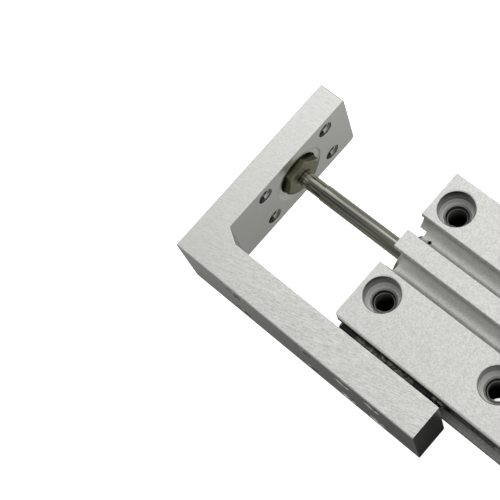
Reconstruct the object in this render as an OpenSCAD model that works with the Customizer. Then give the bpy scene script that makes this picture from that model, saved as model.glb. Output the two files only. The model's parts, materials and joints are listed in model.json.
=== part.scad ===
// Compact pneumatic slide table: a square cylinder body with two switch slots, a miniature
// recirculating ball guide along one side, and an L-shaped table pushed by the piston rod.
// Drawn with the table fully out. X is the stroke, Y points at the guide side, Z is up, and
// the origin is the centre of the body's mounting face.

/* [Body] */
// Working stroke of the table
stroke = 30; // [20:1:50]
// Width of the body, from the port side to the guide side
body_w = 40; // [39.5:0.1:42]
// Height of the body above its mounting face
body_h = 20; // [19.5:0.1:22]
// Distance of the bore axis from the body's middle, towards the port side
axis_off = 1.6; // [1.3:0.1:2]
// Edge radius of the body on the guide side
guide_edge_r = 0.6; // [0.3:0.1:1]
// Edge radius of the body on the port side
port_edge_r = 0.3; // [0.2:0.1:1]

/* [Mounting holes] */
// Distance of the first and last mounting holes from the body's ends
mount_edge = 5; // [4.8:0.1:6]
// Spacing of the two rows of mounting holes
mount_pitch_y = 24; // [23.6:0.1:25]
// Thread diameter of the mounting holes
mount_thread_d = 5; // [4:0.5:5]
// Counterbore diameter of the mounting holes
mount_cbore_d = 8; // [7:0.1:8.2]
// Counterbore depth of the mounting holes
mount_cbore_depth = 4.4; // [3:0.1:6]
// Mouth chamfer of the counterbores
mount_chamfer = 0.25; // [0.1:0.05:0.4]
// Lead-in chamfer of the threads in the counterbores
mount_lead = 0.55; // [0.2:0.05:0.7]

/* [Bore and covers] */
// Bore of the cylinder
bore_d = 10; // [9:0.1:10.2]
// Length taken up by each cover at the body's ends
cover_len = 11; // [10.5:0.1:14]
// Outer diameter of the two covers
cover_d = 10.6; // [10.5:0.1:10.8]
// Distance of each cover's face behind the body's end face
cover_set = 0.95; // [0.9:0.05:1.2]
// Diameter of the round recess in each end face
end_recess_d = 14.5; // [14:0.1:16]
// Depth of the round recess in each end face
end_recess_depth = 1.9; // [1.5:0.1:2.2]
// Wire diameter of the snap rings that hold the covers
snap_wire_d = 0.5; // [0.4:0.05:0.55]
// Cord diameter of the cover O-rings
oring_d = 1; // [0.8:0.1:1.2]
// Diameter of the vent hole in the slot floor
vent_d = 0.8; // [0.5:0.1:0.9]

/* [Ports] */
// Thread diameter of the air ports
port_thread_d = 5; // [4:0.5:6]
// Depth of the air ports
port_depth = 4.5; // [3:0.1:5]
// Diameter of the air passage from port to bore
passage_d = 1.5; // [0.8:0.1:1.5]

/* [Switch slots] */
// Spacing of the two switch slots
slot_pitch = 9; // [8.8:0.1:9.4]
// Width of a slot at its mouth
slot_mouth = 4.4; // [3:0.1:4.6]
// Edge break at the mouth of a slot
slot_lip = 0.15; // [0.05:0.05:0.3]
// Radius of the round bottom of a slot
slot_r = 2.6; // [2.4:0.05:2.65]
// Wall between a slot and the bore
slot_wall = 0.8; // [0.7:0.1:1.2]

/* [Piston and rod] */
// Diameter of the piston rod
rod_d = 4; // [3.8:0.1:4.2]
// Diameter of the neck behind the rod's thread
neck_d = 3.7; // [3.2:0.1:3.8]
// Length of the neck
neck_len = 6.3; // [2:0.1:6.4]
// Thread diameter at both ends of the rod
rod_thread_d = 3; // [2.6:0.1:3.1]
// Length of the piston between its two lands
piston_len = 9.2; // [8.8:0.1:14]
// Width of the magnet ring
magnet_w = 2.5; // [1.5:0.1:5]
// Thickness of the plate that clamps the magnet
piston_plate_t = 3; // [2.6:0.1:5]
// Width of the wear ring
wear_w = 2.4; // [1.5:0.1:2.6]
// Width of the piston seal
seal_w = 2; // [1.2:0.1:2.2]
// Thickness of each rubber bumper
bumper_t = 1.5; // [1:0.1:3]
// Outer diameter of the rod bush
bush_d = 6; // [5.2:0.1:6.4]
// Length of the rod bush
bush_len = 5.6; // [4:0.1:5.8]
// Width of the rod seal
rod_seal_w = 2.4; // [1.5:0.1:2.4]
// Outer diameter of the rod seal
rod_seal_d = 7; // [6.6:0.1:8]

/* [Guide] */
// Width of the rail
rail_w = 7; // [6.8:0.1:7.2]
// Height of the rail
rail_h = 4.7; // [4.6:0.1:5]
// Depth of the seat that locates the rail in the body
rail_seat = 0.9; // [0.5:0.1:1]
// Distance of the rail's ends from the body's ends
rail_inset = 2; // [1:0.1:4]
// Height of the carriage's mounting face above the rail's foot
guide_h = 7; // [6.9:0.1:7.2]
// Height of the carriage's underside above the rail's foot
carriage_lift = 1.3; // [1.1:0.1:1.4]
// Width of the carriage
carriage_w = 17; // [16.4:0.1:17.2]
// Length of the steel part of the carriage
carriage_len = 15.2; // [14:0.1:20]
// Length of each plastic end cap
cap_len = 3.4; // [3:0.1:5]
// Thickness of each end seal
end_seal_t = 0.7; // [0.4:0.1:1]
// Distance of the carriage behind the body's end when the table is out
carriage_inset = 2.3; // [1:0.1:4]
// Ball diameter
ball_d = 1.588; // [1.3:0.001:1.6]
// Distance between the loaded row and the return row of balls
return_gap = 2.55; // [2.4:0.05:2.6]
// Height of the ball rows above the rail's foot
ball_h = 3; // [2.8:0.1:3.2]
// Spacing of the carriage's screws along the stroke
block_pitch_x = 8; // [6:0.1:9]
// Spacing of the carriage's screws across it
block_pitch_z = 12; // [11.6:0.1:12.4]

/* [Table] */
// Height of the table
table_h = 19.5; // [18:0.1:19.5]
// Height of the table's lower edge above the mounting face
table_lift = 0.25; // [0.2:0.05:0.4]
// Thickness of the arm
arm_t = 8.2; // [7.5:0.1:10]
// Thickness of the end plate
end_t = 6.5; // [6.3:0.1:9]
// Gap between the arm and the body
arm_gap = 1.3; // [1:0.1:2]
// Gap between the end plate and the body when the table is in
end_gap = 0.5; // [0.45:0.05:2]
// Distance of the end plate's free end inside the body's port side
tip_inset = 1.5; // [0:0.1:3]
// Length of the arm beyond the carriage
arm_over = 3.3; // [0.5:0.1:8]
// Length along the arm of the web in the table's inner corner
web_along = 3.6; // [2:0.1:5]
// Height of that web along the end plate
web_up = 2.2; // [1.5:0.1:3]
// Radius of the lower corner of the end plate's free end
tip_low_r = 1.1; // [0.4:0.1:1.4]
// Radius of the upper corner of the end plate's free end
tip_top_r = 0.6; // [0.3:0.1:1.4]
// Radius of the table's other edges
table_edge_r = 0.25; // [0.1:0.05:0.5]
// Thread diameter of the work-mounting holes
work_thread_d = 4; // [3:0.5:4]
// Spacing of the end plate's threaded holes across the body
end_pitch_y = 20; // [19:0.1:24]
// Spacing of the end plate's threaded holes in height
end_pitch_z = 12; // [11:0.1:12.4]
// Distance of the arm's first threaded holes from the end plate's outer face
side_first = 16; // [14:0.1:18]
// Spacing of the arm's threaded holes along the stroke
side_pitch_x = 20; // [12:0.1:20]
// Spacing of the arm's threaded holes in height
side_pitch_z = 12; // [10:0.1:12.4]
// Depth of the arm's threaded holes
side_depth = 6; // [4:0.1:6.5]

/* [Rod joint] */
// Width across flats of the rod nut
nut_af = 9; // [8:0.1:9.6]
// Angle that the rod nut is turned to
nut_turn = 50; // [0:5:55]
// Height that the rod nut stands out of the end plate
nut_proud = 1.3; // [0.8:0.1:1.3]
// Clearance round the rod nut's corners in its pocket
nut_clear = 0.3; // [0.2:0.05:0.5]
// Depth of the pocket that the rod nut sits in
nut_pocket_depth = 2.6; // [2:0.1:2.8]
// Diameter of the shallow spot face round that pocket
nut_spot_d = 14; // [13:0.1:15]
// Depth of the spot face
nut_spot_depth = 0.5; // [0.2:0.05:0.8]
// Diameter of the spigot that passes through the end plate
spigot_d = 6; // [5.4:0.1:6.2]
// Thickness of the wall that the spigot passes through
nut_wall = 1.6; // [1.2:0.1:1.8]
// Radial play of the spigot, which lets the rod find its own centre
float_play = 0.3; // [0.2:0.05:0.5]
// Outer diameter of the floating washer
washer_d = 9.6; // [8:0.1:10.2]
// Thickness of the floating washer
washer_t = 0.5; // [0.3:0.05:0.55]

/* [Hidden] */
$fn = 64;

eps = 0.01;
over = 1;              // how far a cutting tool runs past the face that it cuts
fit_gap = 0.02;        // radial gap of pieces seated in each other
run_gap = 0.03;        // radial gap of pieces that slide in each other
side_gap = 0.3;        // gap beside pieces that pass each other
thread_gap = 0.02;     // radial gap between a screw and its threaded hole
bumper_gap = 0.15;     // gap left at each bumper at the ends of the stroke

// Lengths along the stroke
piston_total = piston_len + magnet_w + piston_plate_t;
chamber_l = stroke + piston_total + 2 * (bumper_t + bumper_gap);
body_l = chamber_l + 2 * cover_len;
body_x = body_l / 2;
chamber_x = chamber_l / 2;
cover_x = body_x - cover_set;
mount_x = body_x - mount_edge;
piston_x = chamber_x - bumper_t - bumper_gap;
piston_back = piston_x - piston_total;
end_in_x = body_x + end_gap + stroke;
end_out_x = end_in_x + end_t;
carriage_front = body_x - carriage_inset;
carriage_l = carriage_len + 2 * (cap_len + end_seal_t);
carriage_x = carriage_front - carriage_l / 2;
arm_x = carriage_x - carriage_l / 2 - arm_over;

// Bore axis
axis_y = -axis_off;
axis_z = body_h / 2;

// Covers, from the end face inwards: snap ring, vent groove, O-ring, rod seal
snap_x = body_x - end_recess_depth - 0.9;
vent_x = snap_x - 1.1;
vent_off = slot_pitch / 2 - 0.4;
slot_z = axis_z + sqrt(pow(bore_d / 2 + slot_wall + slot_r, 2) - pow(slot_pitch / 2, 2));
vent_groove_w = 1;
oring_x = vent_x - 2.4;
seal_x = chamber_x + 1.4;
port_x = chamber_x - passage_d / 2 - 0.1;
bumper_d = bore_d - 1.6;
bumper_bore = rod_d + 1;

// Piston, from the front land backwards: wear ring, seal, magnet, clamping plate, nut
land_w = 1.2;
piston_d = bore_d - 0.2;
piston_hub_d = rod_thread_d + 2;
wear_x = piston_x - land_w - wear_w;
piston_seal_x = wear_x - land_w - seal_w;
magnet_x = piston_x - piston_len - magnet_w;
ring_root_d = bore_d - 1.4;
seal_root_d = bore_d - 3.4;
piston_nut_af = rod_thread_d + 2.5;
piston_nut_t = 1.6;
rod_tail = piston_back + 0.1;

// Rod joint, from the nut's front face outwards
nut_face = end_in_x - nut_proud;
nut_chamfer = 0.4;
nut_corner_d = nut_af / cos(30);
nut_seat_x = end_in_x + nut_pocket_depth;
wall_out = nut_seat_x + nut_wall;
washer_x = wall_out + 0.05;

// Guide, seen along the stroke
arm_y = body_w / 2 + arm_gap;
arm_out = arm_y + arm_t;
tip_y = -body_w / 2 + tip_inset;
rail_y = arm_y - guide_h;
rail_top = rail_y + rail_h;
floor_y = rail_y + rail_seat;
under_y = rail_y + carriage_lift;
row_y = rail_y + ball_h;
channel_z = rail_w / 2 + side_gap;
row_z = rail_w / 2 + side_gap / 2;
return_z = row_z + return_gap;
track_r = ball_d / 2 + run_gap;
tube_r = ball_d / 2 + 2 * run_gap;
rail_pitch = mount_x / 2;
rail_holes = [for (i = [-1.5:1:1.5]) i * rail_pitch];
table_top = table_lift + table_h;

// The body's front corner is cut so that it clears the table's web when the table is in
web_gap = 0.05;
web_clear = 1 + web_gap * norm([1 / web_along, 1 / web_up]);
corner_cut_x = web_along * (web_clear - arm_gap / web_up) - end_gap;
corner_cut_y = web_up * (web_clear - end_gap / web_along) - arm_gap;

// Small screws: [thread, head diameter, head height, key width]
m2 = [2, 3.8, 2, 1.5];
m3_low = [3, 5.5, 1.6, 2];
m1_4 = [1.4, 2.4, 0.9, 0.7];
rail_head_seat = rail_top - m2[2] - 0.3;
rail_screw_bite = 3.6;
hole_past = 0.4;       // how far a threaded hole runs past its screw's tip
block_screw_grip = 6;
block_screw_bite = 2;
cap_screw_bite = 1.8;
cap_screw_y = arm_y - 1.6;
cap_screw_z = 5.4;
rod_screw_bite = 2.3;

// Round pieces on the bore axis: a tube, a solid disc, a cone and a ring of round wire
module tube_x(x0, x1, od, id) {
    translate([x0, axis_y, axis_z]) rotate([0, 90, 0]) difference() {
        cylinder(h = x1 - x0, d = od);
        translate([0, 0, -over]) cylinder(h = x1 - x0 + 2 * over, d = id);
    }
}
module disc_x(x0, x1, d) {
    translate([x0, axis_y, axis_z]) rotate([0, 90, 0]) cylinder(h = x1 - x0, d = d);
}
module cone_x(x0, x1, d0, d1) {
    translate([x0, axis_y, axis_z]) rotate([0, 90, 0]) cylinder(h = x1 - x0, d1 = d0, d2 = d1);
}
module ring_x(x, mean_d, wire_d) {
    translate([x, axis_y, axis_z]) rotate([0, 90, 0])
        rotate_extrude() translate([mean_d / 2, 0]) circle(d = wire_d);
}
// Extrudes a shape drawn in (y, z) from x0 to x1
module along_x(x0, x1) {
    translate([x0, 0, 0]) rotate([90, 0, 90]) linear_extrude(x1 - x0) children();
}
// Turns a piece drawn up +Z so that it points along +Y
module facing_y(x, y, z) {
    translate([x, y, z]) rotate([-90, 0, 0]) children();
}
// Rectangle with its own radius at each corner, from the lower left, anticlockwise
module rounded_rect(x0, y0, x1, y1, radii) {
    corners = [[x0, y0, 1, 1], [x1, y0, -1, 1], [x1, y1, -1, -1], [x0, y1, 1, -1]];
    difference() {
        translate([x0, y0]) square([x1 - x0, y1 - y0]);
        for (i = [0:3]) if (radii[i] > 0) difference() {
            c = corners[i];
            r = radii[i];
            translate([c[0] - (c[2] < 0 ? r : over), c[1] - (c[3] < 0 ? r : over)]) square(r + over);
            translate([c[0] + c[2] * r, c[1] + c[3] * r]) circle(r = r);
        }
    }
}
// Socket head screw: the seat of its head is at z = 0 and its head points up
module socket_screw(size, len) {
    difference() {
        union() {
            cylinder(h = size[2], d = size[1]);
            translate([0, 0, -len]) cylinder(h = len + eps, d = size[0] - 2 * thread_gap);
        }
        translate([0, 0, size[2] / 2]) cylinder(h = size[2], d = size[3] / cos(30), $fn = 6);
    }
}

// ---------------------------------------------------------------- cylinder side
module body_profile() {
    difference() {
        rounded_rect(-body_w / 2, 0, body_w / 2, body_h,
            [port_edge_r, guide_edge_r, guide_edge_r, port_edge_r]);
        for (side = [-1, 1]) translate([axis_y + side * slot_pitch / 2, 0]) {
            translate([0, slot_z]) circle(r = slot_r);
            translate([-slot_mouth / 2, slot_z]) square([slot_mouth, body_h]);
            for (edge = [-1, 1]) translate([edge * slot_mouth / 2, body_h]) rotate(45)
                square(slot_lip * sqrt(2), center = true);
        }
        channel_h = carriage_w + 2 * side_gap;
        translate([floor_y, axis_z - channel_h / 2]) square([body_w, channel_h]);
        translate([rail_y, axis_z - rail_w / 2 - fit_gap])
            square([body_w, rail_w + 2 * fit_gap]);
    }
}
module mounting_hole() {
    seat_z = body_h - mount_cbore_depth;
    translate([0, 0, -over]) cylinder(h = body_h, d = mount_thread_d);
    translate([0, 0, seat_z]) cylinder(h = body_h, d = mount_cbore_d);
    translate([0, 0, seat_z - mount_lead])
        cylinder(h = mount_lead + eps, d1 = mount_thread_d, d2 = mount_thread_d + 2 * mount_lead);
    translate([0, 0, body_h - mount_chamfer])
        cylinder(h = mount_chamfer + eps, d1 = mount_cbore_d, d2 = mount_cbore_d + 2 * mount_chamfer);
}
module cover_seat() {
    seat_d = cover_d + 2 * fit_gap;
    disc_x(chamber_x, body_x, seat_d);
    disc_x(body_x - end_recess_depth, body_x + over, end_recess_d);
    ring_x(snap_x, cover_d, snap_wire_d + 2 * fit_gap);
}
module air_port() {
    facing_y(0, -body_w / 2 - over, axis_z) cylinder(h = port_depth + over, d = port_thread_d);
    facing_y(0, -body_w / 2, axis_z) cylinder(h = body_w / 2 + axis_y, d = passage_d);
}
module cylinder_body() color([0.80, 0.80, 0.79]) difference() {
    along_x(-body_x, body_x) body_profile();
    disc_x(-body_x - over, body_x + over, bore_d);
    cover_seat();
    mirror([1, 0, 0]) cover_seat();
    for (x = [-mount_x, 0, mount_x], side = [-1, 1])
        translate([x, axis_y + side * mount_pitch_y / 2, 0]) mounting_hole();
    translate([0, 0, -over]) linear_extrude(body_h + 2 * over) polygon([[body_x - corner_cut_x, body_w / 2],
        [body_x - corner_cut_x, body_w / 2 + over], [body_x + over, body_w / 2 + over],
        [body_x + over, body_w / 2 - corner_cut_y], [body_x, body_w / 2 - corner_cut_y]]);
    for (side = [-1, 1]) translate([side * port_x, 0, 0]) air_port();
    for (x = rail_holes) facing_y(x, rail_y - rail_screw_bite - hole_past, axis_z)
        cylinder(h = rail_screw_bite + hole_past + over, d = m2[0]);
    translate([vent_x, axis_y - vent_off, axis_z]) cylinder(h = slot_z - axis_z, d = vent_d);
}

module cover_grooves() {
    disc_cut = over + cover_d;
    ring_x(snap_x, cover_d, snap_wire_d + 2 * fit_gap);
    tube_x(oring_x - oring_d / 2 - fit_gap, oring_x + oring_d / 2 + fit_gap, disc_cut,
        cover_d - 2 * (oring_d + fit_gap));
}
module rod_cover() color([0.62, 0.62, 0.60]) difference() {
    disc_x(chamber_x, cover_x, cover_d);
    cover_grooves();
    tube_x(vent_x - vent_groove_w / 2, vent_x + vent_groove_w / 2, cover_d + over, cover_d - 0.8);
    disc_x(chamber_x - over, cover_x, rod_d + 0.5);
    disc_x(cover_x - bush_len, cover_x + over, bush_d + 2 * fit_gap);
    disc_x(seal_x, seal_x + rod_seal_w, rod_seal_d + 2 * fit_gap);
}
module rod_bush() color([0.62, 0.50, 0.30])
    tube_x(cover_x - bush_len, cover_x, bush_d, rod_d + 2 * run_gap);
module rod_seal() color([0.08, 0.08, 0.08]) difference() {
    tube_x(seal_x, seal_x + rod_seal_w, rod_seal_d, rod_d + 2 * run_gap);
    cone_x(seal_x - eps, seal_x + rod_seal_w / 2, rod_d + 1.6, rod_d + 2 * run_gap);
}
module rod_cover_oring() color([0.08, 0.08, 0.08]) ring_x(oring_x, cover_d - oring_d, oring_d);
module rod_cover_ring() color([0.55, 0.55, 0.53]) ring_x(snap_x, cover_d, snap_wire_d);
module head_cover() color([0.62, 0.62, 0.60]) difference() {
    disc_x(-cover_x, -chamber_x, cover_d);
    mirror([1, 0, 0]) cover_grooves();
}
module head_cover_oring() color([0.08, 0.08, 0.08]) mirror([1, 0, 0]) rod_cover_oring();
module head_cover_ring() color([0.55, 0.55, 0.53]) mirror([1, 0, 0]) rod_cover_ring();
module front_bumper() color([0.15, 0.15, 0.15])
    tube_x(chamber_x - bumper_t, chamber_x, bumper_d, bumper_bore);
module rear_bumper() color([0.15, 0.15, 0.15])
    tube_x(-chamber_x, -chamber_x + bumper_t, bumper_d, bumper_bore);

module guide_rail() color([0.45, 0.45, 0.44]) difference() {
    along_x(-body_x + rail_inset, body_x - rail_inset) difference() {
        rounded_rect(rail_y, axis_z - rail_w / 2, rail_top, axis_z + rail_w / 2, [0, 0.4, 0.4, 0]);
        for (side = [-1, 1]) translate([row_y, axis_z + side * row_z]) circle(r = track_r);
    }
    for (x = rail_holes) {
        facing_y(x, rail_y - over, axis_z) cylinder(h = rail_h + 2 * over, d = m2[0] + 0.4);
        facing_y(x, rail_head_seat, axis_z) cylinder(h = rail_h, d = m2[1] + 0.4);
    }
}
module rail_screws() color([0.35, 0.35, 0.35]) for (x = rail_holes)
    facing_y(x, rail_head_seat, axis_z) socket_screw(m2, rail_head_seat - rail_y + rail_screw_bite);

// ---------------------------------------------------------------- table side
module table_outline() {
    difference() {
        rounded_rect(arm_x, tip_y, end_out_x, arm_out, [0, table_edge_r, table_edge_r, 0]);
        difference() {
            translate([arm_x - over, tip_y - over])
                square([end_in_x - arm_x + over, arm_y - tip_y + over]);
            polygon([[end_in_x + over, arm_y + over], [end_in_x - web_along, arm_y + over],
                [end_in_x - web_along, arm_y], [end_in_x, arm_y - web_up],
                [end_in_x + over, arm_y - web_up]]);
        }
    }
}
module nut_seat() {
    disc_x(end_in_x - over, end_in_x + nut_spot_depth, nut_spot_d);
    disc_x(end_in_x, nut_seat_x, nut_corner_d + 2 * nut_clear);
    disc_x(end_in_x, end_out_x, spigot_d + 2 * float_play);
    disc_x(wall_out, end_out_x + over, washer_d + 2 * float_play);
}
module table_plate() color([0.78, 0.78, 0.77]) difference() {
    intersection() {
        translate([0, 0, table_lift]) linear_extrude(table_h) table_outline();
        along_x(arm_x, end_out_x)
            rounded_rect(tip_y, table_lift, arm_out, table_top,
                [tip_low_r, table_edge_r, table_edge_r, tip_top_r]);
    }
    nut_seat();
    for (sy = [-1, 1], sz = [-1, 1])
        translate([end_in_x - over, axis_y + sy * end_pitch_y / 2, axis_z + sz * end_pitch_z / 2])
            rotate([0, 90, 0]) cylinder(h = end_t + 2 * over, d = work_thread_d);
    for (i = [0, 1], sz = [-1, 1])
        facing_y(end_out_x - side_first - i * side_pitch_x, arm_out - side_depth,
            axis_z + sz * side_pitch_z / 2)
            cylinder(h = side_depth + over, d = work_thread_d);
    for (sx = [-1, 1], sz = [-1, 1])
        facing_y(carriage_x + sx * block_pitch_x / 2, arm_y, axis_z + sz * block_pitch_z / 2) {
            translate([0, 0, -over]) cylinder(h = arm_t, d = m2[0] + 0.3);
            translate([0, 0, block_screw_grip]) cylinder(h = arm_t, d = m2[1] + 0.6);
        }
}

module piston_rod() color([0.72, 0.72, 0.70]) {
    disc_x(rod_tail, piston_x + eps, rod_thread_d);
    disc_x(piston_x, nut_face - neck_len + eps, rod_d);
    disc_x(nut_face - neck_len, nut_face + eps, neck_d);
    disc_x(nut_face, washer_x - rod_screw_bite - 0.2, rod_thread_d - 2 * thread_gap);
}
module rod_nut() color([0.42, 0.42, 0.33]) difference() {
    union() {
        intersection() {
            along_x(nut_face, nut_seat_x) translate([axis_y, axis_z]) rotate(nut_turn)
                circle(d = nut_corner_d, $fn = 6);
            union() {
                cone_x(nut_face, nut_face + nut_chamfer, nut_af, nut_af + 4 * nut_chamfer);
                disc_x(nut_face + nut_chamfer, nut_seat_x, nut_af + 4 * nut_chamfer);
            }
        }
        disc_x(nut_seat_x - eps, washer_x, spigot_d);
    }
    disc_x(nut_face - over, washer_x + over, rod_thread_d);
    cone_x(nut_face - eps, nut_face + 0.5, rod_d + 0.6, rod_thread_d);
}
module float_washer() color([0.55, 0.55, 0.53])
    tube_x(washer_x, washer_x + washer_t, washer_d, rod_thread_d + 0.3);
module rod_end_screw() color([0.35, 0.35, 0.35])
    translate([washer_x + washer_t, axis_y, axis_z]) rotate([0, 90, 0])
        socket_screw(m3_low, washer_t + rod_screw_bite);

module piston() color([0.70, 0.70, 0.68]) difference() {
    union() {
        disc_x(piston_x - piston_len, piston_x, piston_d);
        disc_x(magnet_x, piston_x - piston_len + eps, piston_hub_d);
    }
    tube_x(wear_x, wear_x + wear_w, bore_d + over, ring_root_d);
    tube_x(piston_seal_x, piston_seal_x + seal_w, bore_d + over, seal_root_d);
    disc_x(magnet_x - over, piston_x + over, rod_thread_d + 2 * fit_gap);
}
module wear_ring() color([0.75, 0.70, 0.55])
    tube_x(wear_x, wear_x + wear_w, bore_d - 2 * run_gap, ring_root_d + 2 * fit_gap);
module piston_seal() color([0.08, 0.08, 0.08]) difference() {
    tube_x(piston_seal_x, piston_seal_x + seal_w, bore_d - 2 * run_gap, seal_root_d + 2 * fit_gap);
    ring_x(piston_seal_x + seal_w / 2, bore_d, seal_w / 3);
}
module magnet_ring() color([0.20, 0.20, 0.22])
    tube_x(magnet_x, magnet_x + magnet_w, piston_d - 0.6, piston_hub_d + 2 * fit_gap);
module piston_plate() color([0.70, 0.70, 0.68]) difference() {
    disc_x(piston_back, magnet_x, piston_d);
    disc_x(piston_back - over, magnet_x + over, rod_thread_d + 2 * fit_gap);
    disc_x(piston_back - over, piston_back + piston_nut_t + 0.1, piston_nut_af / cos(30) + 0.3);
}
module piston_nut() color([0.55, 0.55, 0.53]) difference() {
    along_x(piston_back + 0.1, piston_back + 0.1 + piston_nut_t) translate([axis_y, axis_z])
        circle(d = piston_nut_af / cos(30), $fn = 6);
    disc_x(piston_back - over, magnet_x, rod_thread_d + 2 * fit_gap);
}

// ---------------------------------------------------------------- carriage
module carriage_profile(margin) {
    difference() {
        rounded_rect(under_y + margin, axis_z - carriage_w / 2 + margin, arm_y - margin,
            axis_z + carriage_w / 2 - margin, [0.4, 0.5, 0.5, 0.4]);
        translate([under_y - over, axis_z - channel_z])
            square([rail_top + side_gap - under_y + over, 2 * channel_z]);
    }
}
module cap_screw_holes(d, x0, len) {
    for (sz = [-1, 1]) translate([x0, cap_screw_y, axis_z + sz * cap_screw_z])
        rotate([0, 90, 0]) cylinder(h = len, d = d);
}
module guide_block() color([0.50, 0.50, 0.49]) difference() {
    along_x(carriage_x - carriage_len / 2, carriage_x + carriage_len / 2) difference() {
        carriage_profile(0);
        for (side = [-1, 1]) {
            translate([row_y, axis_z + side * row_z]) circle(r = track_r);
            translate([row_y, axis_z + side * return_z]) circle(r = tube_r);
        }
    }
    for (sx = [-1, 1], sz = [-1, 1])
        facing_y(carriage_x + sx * block_pitch_x / 2, arm_y - block_screw_bite - hole_past,
            axis_z + sz * block_pitch_z / 2) cylinder(h = block_screw_bite + over, d = m2[0]);
    for (side = [-1, 1]) translate([carriage_x + side * carriage_len / 2, 0, 0])
        cap_screw_holes(m1_4[0], -cap_screw_bite - hole_past, 2 * (cap_screw_bite + hole_past));
}
// Turn-round that takes the balls from the loaded row to the return row
module ball_turn(side) {
    translate([0, row_y, axis_z + side * (row_z + return_z) / 2]) rotate([90, 0, 0])
        rotate([0, 0, -90]) rotate_extrude(angle = 180) translate([return_gap / 2, 0]) circle(r = tube_r);
}
// One end cap, drawn for the front end with its inner face at x = 0
module end_cap() difference() {
    along_x(0, cap_len) carriage_profile(0.2);
    for (side = [-1, 1]) ball_turn(side);
    cap_screw_holes(m1_4[0] + 0.3, -over, cap_len + 2 * over);
}
module end_seal() difference() {
    along_x(cap_len, cap_len + end_seal_t) difference() {
        carriage_profile(0.4);
        translate([under_y - over, axis_z - rail_w / 2 - 0.1])
            square([rail_top + 0.1 - under_y + over, rail_w + 0.2]);
    }
    cap_screw_holes(m1_4[0] + 0.3, 0, cap_len + 2 * end_seal_t);
}
module at_front() translate([carriage_x + carriage_len / 2, 0, 0]) children();
module at_rear() translate([carriage_x - carriage_len / 2, 0, 0]) mirror([1, 0, 0]) children();
module front_end_cap() color([0.07, 0.07, 0.07]) at_front() end_cap();
module rear_end_cap() color([0.07, 0.07, 0.07]) at_rear() end_cap();
module front_end_seal() color([0.12, 0.12, 0.12]) at_front() end_seal();
module rear_end_seal() color([0.12, 0.12, 0.12]) at_rear() end_seal();
module cap_screws() for (sz = [-1, 1])
    translate([cap_len + end_seal_t, cap_screw_y, axis_z + sz * cap_screw_z]) rotate([0, 90, 0])
        socket_screw(m1_4, cap_len + end_seal_t + cap_screw_bite);
module end_cap_screws() color([0.60, 0.60, 0.58]) {
    at_front() cap_screws();
    at_rear() cap_screws();
}

// Place of a ball that has rolled a distance s round its loop, as [x, z] from the loop's centre
half_row = carriage_len / 2;
turn_r = return_gap / 2;
turn_l = PI * turn_r;
loop_l = 2 * carriage_len + 2 * turn_l;
function loop_place(s) =
    s < carriage_len ? [s - half_row, -turn_r] :
    s < carriage_len + turn_l ?
        let (a = (s - carriage_len) / turn_r * 180 / PI) [half_row + turn_r * sin(a), -turn_r * cos(a)] :
    s < 2 * carriage_len + turn_l ? [half_row - (s - carriage_len - turn_l), turn_r] :
        let (a = (s - 2 * carriage_len - turn_l) / turn_r * 180 / PI)
            [-half_row - turn_r * sin(a), turn_r * cos(a)];
// Balls touch first in the turns, where their spacing is a chord
ball_room = 2 * turn_r * asin((ball_d + 0.02) / (2 * turn_r)) * PI / 180;
ball_n = floor(loop_l / ball_room);
module guide_balls() color([0.75, 0.75, 0.75]) for (side = [-1, 1], i = [0:ball_n - 1]) {
    p = loop_place((i + 0.5) * loop_l / ball_n);
    translate([carriage_x + p[0], row_y, axis_z + side * ((row_z + return_z) / 2 + p[1])])
        sphere(d = ball_d);
}
module block_screws() color([0.35, 0.35, 0.35]) for (sx = [-1, 1], sz = [-1, 1])
    facing_y(carriage_x + sx * block_pitch_x / 2, arm_y + block_screw_grip, axis_z + sz * block_pitch_z / 2)
        socket_screw(m2, block_screw_grip + block_screw_bite);

cylinder_body();
rod_cover();
rod_bush();
rod_seal();
rod_cover_oring();
rod_cover_ring();
head_cover();
head_cover_oring();
head_cover_ring();
front_bumper();
rear_bumper();
guide_rail();
rail_screws();
table_plate();
piston_rod();
rod_nut();
float_washer();
rod_end_screw();
piston();
piston_seal();
wear_ring();
magnet_ring();
piston_plate();
piston_nut();
guide_block();
front_end_cap();
rear_end_cap();
front_end_seal();
rear_end_seal();
end_cap_screws();
guide_balls();
block_screws();
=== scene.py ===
"""Finishes the pneumatic slide table: anodised and ground metals, black mouldings, cut threads,
detailed socket screws and a plain studio. All lengths are in metres."""

import json
import math

import bmesh
import bpy
from bpy.props import (
    FloatProperty,
    FloatVectorProperty,
    IntProperty,
    PointerProperty,
)
from bpy.types import Operator, Panel, PropertyGroup
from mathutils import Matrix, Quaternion, Vector

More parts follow.
